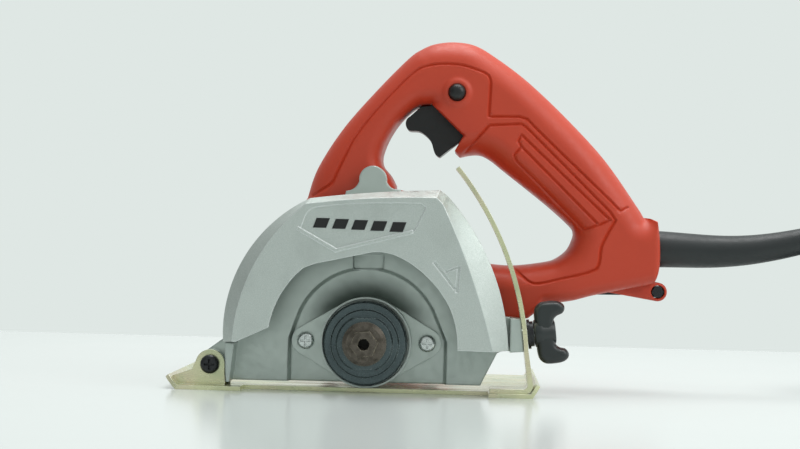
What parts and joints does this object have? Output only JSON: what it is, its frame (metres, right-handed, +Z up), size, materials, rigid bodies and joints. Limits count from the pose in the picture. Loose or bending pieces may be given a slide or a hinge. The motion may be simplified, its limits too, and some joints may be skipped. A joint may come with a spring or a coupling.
{
  "type": "slab saw",
  "caption": "Hand-held electric saw for cutting stone and tile slabs: sole with a pivoting depth setting, cast blade guard, transverse motor and a closed D handle with trigger.",
  "frame": {"origin": "on the underside of the sole, below the spindle axis, in the middle plane of the blade", "axes": "+X to the rear (cord side), +Y from the blade side to the motor side, +Z up"},
  "size_m": [0.4113, 0.1863, 0.1642],
  "materials": {
    "cast_aluminium": "sand-cast, satin",
    "machined_aluminium": "die-cast, smooth",
    "yellow_zinc": "yellow-passivated zinc",
    "bright_zinc": "bright zinc",
    "black_steel": "black oxide",
    "brown_steel": "oiled dark oxide",
    "bare_steel": "ground",
    "lamination_steel": "stacked laminations",
    "copper": "enamelled copper",
    "carbon": "pressed carbon",
    "red_plastic": "fine moulded texture",
    "black_plastic": "moulded",
    "fan_plastic": "moulded",
    "black_rubber": "moulded rubber",
    "cord_sheath": "smooth sheath",
    "nickel": "nickel plated"
  },
  "bodies": {
    "base": {"base_plate": "yellow_zinc", "depth_guide": "yellow_zinc", "hinge_screw": "black_steel", "hinge_nut": "bright_zinc", "cord_coil": "cord_sheath", "cord_tie": "black_rubber", "cord_tail": "cord_sheath", "plug_body": "black_rubber", "plug_pins": "nickel"},
    "spindle": {"spindle": "bare_steel", "spindle_gear": "bare_steel", "inner_flange": "black_steel", "outer_flange": "black_steel", "flange_bolt": "brown_steel", "spindle_bearing_inner_rings": "bare_steel"},
    "armature": {"armature_shaft": "bare_steel", "armature_core": "lamination_steel", "armature_windings": "copper", "commutator": "copper", "cooling_fan": "fan_plastic", "armature_bearing_inner_rings": "bare_steel"},
    "trigger": {"trigger": "black_plastic"},
    "lock_button": {"lock_button": "black_plastic"},
    "clamp_washers": {"clamp_washers": "black_steel"},
    "wing_bolt": {"wing_bolt_stud": "bright_zinc", "wing_bolt_knob": "black_plastic"},
    "saw": {"blade_case": "cast_aluminium", "blade_case_screws": "bright_zinc", "gear_housing": "machined_aluminium", "gear_housing_cover": "machined_aluminium", "bearing_retainer": "machined_aluminium", "retainer_screws": "bright_zinc", "spindle_bearing_outer_rings": "bare_steel", "armature_bearing_outer_rings": "bare_steel", "bearing_balls": "bare_steel", "field_core": "lamination_steel", "field_windings": "copper", "fan_baffle": "fan_plastic", "motor_housing": "red_plastic", "motor_screws": "bright_zinc", "motor_rear_cover": "red_plastic", "brush_holders": "black_plastic", "carbon_brushes": "carbon", "brush_springs": "bare_steel", "brush_caps": "black_plastic", "handle_near_half": "red_plastic", "handle_far_half": "red_plastic", "handle_screws": "black_steel", "trigger_spring": "bare_steel", "switch_body": "black_plastic", "lock_button_spring": "bare_steel", "cord_guard": "black_rubber", "cord_inner_end": "cord_sheath", "cord_clamp": "black_plastic", "cord_lead": "cord_sheath", "hex_wrench": "black_steel"}
  },
  "joints": [
    {"name": "depth_pivot", "type": "hinge", "parent": "base", "child": "saw", "pos_m": [-0.0711, 0.016, 0.0114], "axis": [0, -1, 0], "range_deg": [0, 28]},
    {"name": "armature_spin", "type": "hinge", "parent": "saw", "child": "armature", "pos_m": [0.005, 0.08, 0.0454], "axis": [0, 1, 0], "continuous": true},
    {"name": "spindle_spin", "type": "hinge", "parent": "saw", "child": "spindle", "pos_m": [0, 0.02, 0.023], "axis": [0, 1, 0], "continuous": true},
    {"name": "trigger_pull", "type": "slide", "parent": "saw", "child": "trigger", "axis": [0.6905, 0, 0.7234], "range_m": [0, 0.006], "stiffness_N_per_m": 500, "springref_m": -0.008, "deforming": ["trigger_spring"]},
    {"name": "lock_button_push", "type": "slide", "parent": "saw", "child": "lock_button", "axis": [0, 1, 0], "range_m": [0, 0.003], "stiffness_N_per_m": 600, "springref_m": -0.004, "deforming": ["lock_button_spring"]},
    {"name": "wing_washer_slide", "type": "slide", "parent": "saw", "child": "clamp_washers", "axis": [0.993, 0, 0.1184], "range_m": [0, 0.0021]},
    {"name": "wing_bolt_turn", "type": "hinge", "parent": "clamp_washers", "child": "wing_bolt", "pos_m": [0.07352, 0.007, 0.02865], "axis": [0.993, 0, 0.1184], "range_deg": [0, 720]}
  ],
  "couplings": [
    {"joint": "spindle_spin", "follows": "armature_spin", "ratio": -0.37838},
    {"joint": "wing_washer_slide", "follows": "wing_bolt_turn", "m_per_rad": 0.00015915}
  ]
}
